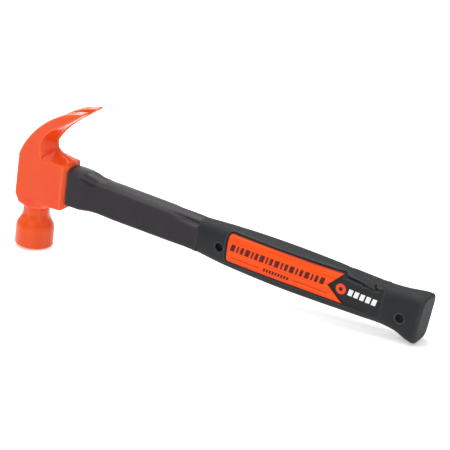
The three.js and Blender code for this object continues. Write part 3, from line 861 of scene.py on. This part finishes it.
def fill(outlines, step):
    """Triangles over flat outlines, with inner points so that they can bend."""
    points, edges, faces = [], [], []
    for outline in outlines:
        base = len(points)
        for (x0, z0), (x1, z1) in zip(outline, outline[1:] + outline[:1]):
            count = max(1, round(math.hypot(x1 - x0, z1 - z0) / step))
            points += [(x0 + (x1 - x0) * k / count, z0 + (z1 - z0) * k / count) for k in range(count)]
        total = len(points) - base
        ring = list(range(base, base + total))
        edges += [(i, ring[(k + 1) % total]) for k, i in enumerate(ring)]
        faces.append(ring)
        u, v = np.meshgrid(
            np.arange(min(p[0] for p in outline), max(p[0] for p in outline), step),
            np.arange(min(p[1] for p in outline), max(p[1] for p in outline), step),
        )
        keep = polygon_field(np.array(outline), u, v) < -0.4 * step
        points += list(zip(u[keep].tolist(), v[keep].tolist()))
    vectors = [Vector(p) for p in points]
    found, _, triangles, *_ = geometry.delaunay_2d_cdt(vectors, edges, faces, 1, 1e-4)
    return np.array([tuple(p) for p in found]), [tuple(t) for t in triangles]


def plate_walls(triangles, count, side):
    """Faces of a closed plate: top, base and the rim between them."""
    links = {(a, b) for t in triangles for a, b in zip(t, t[1:] + t[:1])}
    rim = [(a, b) for a, b in links if (b, a) not in links]
    rim.sort()
    flipped = [t[::-1] for t in triangles]
    upper, lower = (triangles, flipped) if side < 0 else (flipped, triangles)
    lower = [tuple(i + count for i in t) for t in lower]
    walls = [(b, a, a + count, b + count) if side < 0 else (a, b, b + count, a + count) for a, b in rim]
    return upper + lower + walls


def wrapped_plate(name, outlines, side, depth, thickness, step, material, soften=0.0):
    """A thin closed plate that follows the grip's side; depth gives its face under the skin."""
    flat, triangles = fill(outlines, step)
    x, z = flat.T
    edge = np.min([np.abs(polygon_field(np.array(o), x, z)) for o in outlines], axis=0)
    face = depth(x, z) + soften * (edge < 0.05)
    top = np.stack([x, on_grip(x, z, face, side), z], 1)
    base = np.stack([x, on_grip(x, z, depth(x, z) + thickness, side), z], 1)
    mesh = bpy.data.meshes.new(name)
    vertices = (np.concatenate([top, base]) * MM).tolist()
    mesh.from_pydata(vertices, [], plate_walls(triangles, len(flat), side))
    mesh.materials.append(material)
    mesh.update()
    give_edge(mesh, np.tile(np.clip(edge / BORDER, 0, 1), 2))
    piece = new_object(name, mesh)
    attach(piece, ROOT)
    return piece


def label_face(x, z):
    """Depth of the inlay's face, the same all over."""
    return np.full(x.shape, INLAY_SINK)


def label_print(x, z):
    return label_face(x, z) - PRINT_LIFT


def panel_print(x, z):
    return carving(x, z) - PRINT_LIFT


def centre_print(x, z):
    return carving(x, z) - TOP_PRINT_LIFT


def thin_rule(start, end, height=0.3):
    (x0, z0), (x1, z1) = start, end
    return [(x0, z0), (x1, z1), (x1, z1 + height), (x0, z0 + height)]


def build_marks(side, tag, dark, white, orange):
    """Generic printed marks: rows of bars and two rules on the label, a dot and dashes on the panel."""
    row = bar_row(on_label(0.04, 0.56), on_label(0.98, 0.56), 5.2, [3.4, 1.3, 2.3], 1.75)
    row += bar_row(on_label(0.38, 0.2), on_label(0.65, 0.2), 2.5, [1.5], 0.9)
    row += [thin_rule(on_label(0.05, 0.19), on_label(0.34, 0.19))]
    row += [thin_rule(on_label(0.67, 0.19), on_label(1.0, 0.19))]
    dot = lean_down([(TAIL - 3.4, (INLAY_BOTTOM + INLAY_TOP) / 2)])[0]
    start, end = on_panel(PANEL_RIGHT - dot[0] - 6, 11.6), on_panel(3.4, 12.4)
    marks = [
        ("label_bars", row, label_print, 1.5, dark, "print_dark"),
        ("panel_dot", [disc(*dot, 4.0)], panel_print, 1.2, orange, "inlay"),
        ("panel_dot_centre", [disc(*dot, 1.5)], centre_print, 1.0, dark, "print_dark"),
        ("panel_dashes", bar_row(start, end, 4.8, [3.4], 1.3), panel_print, 1.2, white, "print_light"),
    ]
    for name, outlines, depth, step, material, slot in marks:
        wrapped_plate(f"{name}_{tag}", outlines, side, depth, PRINT_THICKNESS, step, material)


def build_inlays():
    label = label_material()
    dark = print_material("dark_print", (0.085, 0.012, 0.007, 1))
    white = print_material("white_print", (0.8, 0.8, 0.8, 1))
    orange = print_material("orange_print", (0.8, 0.07, 0.02, 1))
    for side, tag in ((-1, "near"), (1, "far")):
        plate = wrapped_plate(f"inlay_{tag}", [inlay_outline()], side, label_face, INLAY_THICKNESS, 0.8,
                              label, soften=0.18)
        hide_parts(f"label_inlay_{tag}")
        build_marks(side, tag, dark, white, orange)


# -------------------- materials

def new_material(name):
    """A material, its node tree and its shader's inputs."""
    material = bpy.data.materials.new(name)
    material.use_nodes = True
    tree = material.node_tree
    return material, tree, tree.nodes["Principled BSDF"].inputs


def noise_texture(tree, scale, detail, stretch=None):
    """Noise laid out in the object's own space, drawn out along the small parts of a stretch."""
    place = tree.nodes.new("ShaderNodeTexCoord").outputs["Object"]
    if stretch:
        mapping = tree.nodes.new("ShaderNodeMapping")
        mapping.inputs["Scale"].default_value = stretch
        tree.links.new(place, mapping.inputs["Vector"])
        place = mapping.outputs["Vector"]
    noise = tree.nodes.new("ShaderNodeTexNoise")
    noise.inputs["Scale"].default_value = scale
    noise.inputs["Detail"].default_value = detail
    tree.links.new(place, noise.inputs["Vector"])
    return noise.outputs["Fac"]


def add_bump(tree, shader, height, strength, distance):
    """Lets a texture roughen the surface."""
    bump = tree.nodes.new("ShaderNodeBump")
    bump.inputs["Strength"].default_value = strength
    bump.inputs["Distance"].default_value = distance
    tree.links.new(height, bump.inputs["Height"])
    tree.links.new(bump.outputs["Normal"], shader["Normal"])


def add_grain(tree, shader, scale, strength, distance):
    """A fine grain over the surface; gives back its noise."""
    noise = noise_texture(tree, scale, 3)
    add_bump(tree, shader, noise, strength, distance)
    return noise


def spread_noise(tree, scale, detail, low, high):
    """Noise that runs between two values."""
    spread = tree.nodes.new("ShaderNodeMapRange")
    spread.inputs["To Min"].default_value = low
    spread.inputs["To Max"].default_value = high
    tree.links.new(noise_texture(tree, scale, detail), spread.inputs["Value"])
    return spread.outputs["Result"]


def varied_roughness(tree, shader, scale, low, high):
    tree.links.new(spread_noise(tree, scale, 6, low, high), shader["Roughness"])


def colour_ramp(tree, value, stops):
    """The colour for a value, from stops of place and colour."""
    ramp = tree.nodes.new("ShaderNodeValToRGB")
    elements = ramp.color_ramp.elements
    elements[0].position, elements[0].color = stops[0]
    elements[1].position, elements[1].color = stops[-1]
    for position, colour in stops[1:-1]:
        elements.new(position).color = colour
    tree.links.new(value, ramp.inputs["Fac"])
    return ramp.outputs["Color"]


def edge_value(tree):
    """The value that each vertex carries in its edge attribute."""
    edge = tree.nodes.new("ShaderNodeAttribute")
    edge.attribute_name = "edge"
    return edge.outputs["Fac"]


def painted_light_ramp(tree, shader, stops):
    """Base colour with painted light: painted shade in hollows, the plain colour on flats and a painted
    highlight on outer edges, broken up by noise.
    """
    total = tree.nodes.new("ShaderNodeMath")
    tree.links.new(edge_value(tree), total.inputs[0])
    tree.links.new(spread_noise(tree, 70, 5, -0.12, 0.12), total.inputs[1])
    tree.links.new(colour_ramp(tree, total.outputs[0], stops), shader["Base Color"])


def painted_head_material():
    """Glossy enamel over a forging: redder and darker in hollows as painted shade, where the enamel also
    lies deeper, and brighter on outer edges as a painted highlight.
    """
    material, tree, shader = new_material("orange_enamel")
    shader["Specular IOR Level"].default_value = 0.12
    shader["Coat Weight"].default_value = 0.32
    shader["Coat Roughness"].default_value = 0.06
    add_grain(tree, shader, 240, 0.06, 0.0005)
    varied_roughness(tree, shader, 180, 0.25, 0.42)
    # Painted shade in the hollows at 0, painted highlight on the outer edges at 1.
    painted_light_ramp(tree, shader, [
        (0.0, (0.74, 0.018, 0.004, 1)), (0.42, (0.70, 0.045, 0.006, 1)),
        (0.56, (0.66, 0.067, 0.006, 1)), (1.0, (0.82, 0.095, 0.014, 1)),
    ])
    return material


def sleeve_material():
    """Hard moulded plastic with a fine satin grain."""
    material, tree, shader = new_material("black_sleeve")
    shader["Specular IOR Level"].default_value = 0.24
    add_grain(tree, shader, 1100, 0.16, 0.0003)
    varied_roughness(tree, shader, 420, 0.36, 0.5)
    # Painted shade darkens the hollows and a painted highlight lightens the outer edges.
    painted_light_ramp(tree, shader, [
        (0.0, (0.007, 0.006, 0.008, 1)), (0.5, (0.0135, 0.0105, 0.0145, 1)), (1.0, (0.030, 0.027, 0.032, 1)),
    ])
    return material


def rubber_material():
    """Soft matt rubber with a stronger grain."""
    material, tree, shader = new_material("black_rubber")
    shader["Specular IOR Level"].default_value = 0.19
    add_grain(tree, shader, 1500, 0.3, 0.0004)
    varied_roughness(tree, shader, 520, 0.5, 0.68)
    # Painted shade darkens the hollows, such as the mould recesses, and a painted highlight lightens the
    # outer edges.
    painted_light_ramp(tree, shader, [
        (0.0, (0.006, 0.007, 0.008, 1)), (0.5, (0.0125, 0.0145, 0.0155, 1)), (1.0, (0.035, 0.038, 0.04, 1)),
    ])
    return material


def steel_material(name, brightness, roughness, grain):
    """Bright steel with a fine grain and a mottled sheen."""
    material, tree, shader = new_material(name)
    shader["Metallic"].default_value = 1.0
    noise = add_grain(tree, shader, grain, 0.12, 0.0002)
    varied_roughness(tree, shader, 300, roughness - 0.07, roughness + 0.1)
    stops = []
    for place, grey in ((0, brightness * 0.8), (1, brightness * 1.15)):
        stops.append((place, (grey, grey, grey * 1.03, 1)))
    tree.links.new(colour_ramp(tree, noise, stops), shader["Base Color"])
    return material


def printed_border(tree, colour):
    """The inlay's colour with a dark border that fades out from its edge."""
    border = tree.nodes.new("ShaderNodeMix")
    border.data_type = "RGBA"
    border.inputs["A"].default_value = (0.10, 0.012, 0.006, 1)
    tree.links.new(edge_value(tree), border.inputs["Factor"])
    tree.links.new(colour, border.inputs["B"])
    return border.outputs["Result"]


def label_material():
    """Satin orange film with fine lines along the handle."""
    material, tree, shader = new_material("orange_label")
    shader["Roughness"].default_value = 0.4
    shader["Specular IOR Level"].default_value = 0.12
    lines = noise_texture(tree, 900, 3, (0.02, 0.02, 1))
    stops = [(0.35, (0.77, 0.052, 0.005, 1)), (0.65, (0.90, 0.092, 0.009, 1))]
    colour = printed_border(tree, colour_ramp(tree, lines, stops))
    tree.links.new(colour, shader["Base Color"])
    add_bump(tree, shader, lines, 0.15, 0.0002)
    return material


def print_material(name, colour):
    """Printing ink, slightly uneven in its colour."""
    material, tree, shader = new_material(name)
    shader["Specular IOR Level"].default_value = 0.15
    noise = add_grain(tree, shader, 1500, 0.1, 0.0002)
    varied_roughness(tree, shader, 600, 0.38, 0.52)
    thin = tuple(0.86 * part for part in colour[:3]) + (1,)
    tree.links.new(colour_ramp(tree, noise, [(0, thin), (1, colour)]), shader["Base Color"])
    return material


# -------------------- stage, light, camera

# The camera's numbers are fitted to the photo's view; lengths here are metres, the lens is in mm.
OBJECT_MIDDLE = (CAD_BOUNDS[0] + CAD_BOUNDS[1]) / 2
AIM_OFFSET = Vector((0.0067, 0.0, 0.0074))
CAMERA_AIM = OBJECT_MIDDLE + AIM_OFFSET
CAMERA_AZIMUTH = 27.36
CAMERA_ELEVATION = 22.95
CAMERA_ROLL = 7.71
CAMERA_DISTANCE = 1.3044
CAMERA_LENS = 143.1
FLOOR_REACH = 12.0
FLOOR_GAP = 0.0003  # keeps the floor clear of the hammer
FLOOR_GLOW = 0.36  # lifts the floor to the photo's pale ground


def facing(azimuth, elevation, distance):
    """A pose that looks at the hammer from a distance; azimuth 0 is in front, on the -Y side."""
    azimuth, elevation = math.radians(azimuth), math.radians(elevation)
    towards = Vector((
        math.sin(azimuth) * math.cos(elevation),
        -math.cos(azimuth) * math.cos(elevation),
        math.sin(elevation),
    ))
    turn = towards.to_track_quat("Z", "Y").to_matrix().to_4x4()
    return Matrix.Translation(CAMERA_AIM + towards * distance) @ turn


def build_camera():
    """The camera at the photo's viewing angle."""
    data = bpy.data.cameras.new("camera")
    data.lens = CAMERA_LENS
    data.sensor_width = 36.0
    data.clip_start = 0.05
    camera = new_object("camera", data)
    level = facing(CAMERA_AZIMUTH, CAMERA_ELEVATION, CAMERA_DISTANCE)
    camera.matrix_world = level @ Matrix.Rotation(math.radians(CAMERA_ROLL), 4, "Z")
    bpy.context.scene.camera = camera


def build_floor():
    """A pale plane under the striking face's front rim and the toe of the butt."""
    rise = GRIP_LOW[2] * MM
    run = (GRIP_HIGH[0] - POLL_RADIUS) * MM
    slope = math.atan2(rise, run)
    reach = FLOOR_REACH
    mesh = bpy.data.meshes.new("floor")
    corners = [(-reach, -reach, 0), (reach, -reach, 0), (reach, reach, 0), (-reach, reach, 0)]
    mesh.from_pydata(corners, [], [(0, 1, 2, 3)])
    floor = new_object("floor", mesh)
    foot = Matrix.Translation((POLL_RADIUS * MM, 0, -FLOOR_GAP))
    floor.matrix_world = foot @ Matrix.Rotation(-slope, 4, "Y")
    material, _, shader = new_material("pale_floor")
    shader["Base Color"].default_value = (0.9, 0.9, 0.9, 1)
    shader["Roughness"].default_value = 0.8
    shader["Emission Color"].default_value = (1, 1, 1, 1)
    shader["Emission Strength"].default_value = FLOOR_GLOW
    mesh.materials.append(material)


def area_light(name, azimuth, elevation, distance, size, power):
    """A softbox that faces the hammer; size is its width and height in metres."""
    data = bpy.data.lights.new(name, "AREA")
    data.shape = "RECTANGLE"
    data.size, data.size_y = size
    data.energy = power
    light = new_object(name, data)
    light.matrix_world = facing(azimuth, elevation, distance)


def build_lights():
    """A white studio: an even surround and six softboxes."""
    world = bpy.data.worlds.new("studio")
    world.use_nodes = True
    background = world.node_tree.nodes["Background"]
    background.inputs["Color"].default_value = (1.0, 1.0, 1.0, 1)
    background.inputs["Strength"].default_value = 0.56
    bpy.context.scene.world = world
    area_light("overhead", -20, 75, 1.25, (1.3, 1.3), 9)
    area_light("key", -30, 42, 1.2, (0.28, 0.28), 2.5)
    area_light("top_left", -100, 60, 1.2, (0.45, 0.45), 3)
    area_light("right_fill", 78, 6, 1.2, (0.6, 0.5), 1.6)  # reaches into the throat
    area_light("low_rim", -142, 7, 1.3, (0.35, 0.2), 0.65)  # skims the outside of the claw
    area_light("back_soft", -153, 45, 1.3, (0.5, 0.4), 4.5)  # lies along the handle's top
    bpy.context.scene.view_settings.view_transform = "Standard"


build_camera()
build_floor()
build_lights()
build_head()
build_core()
build_sleeves()
build_inlays()
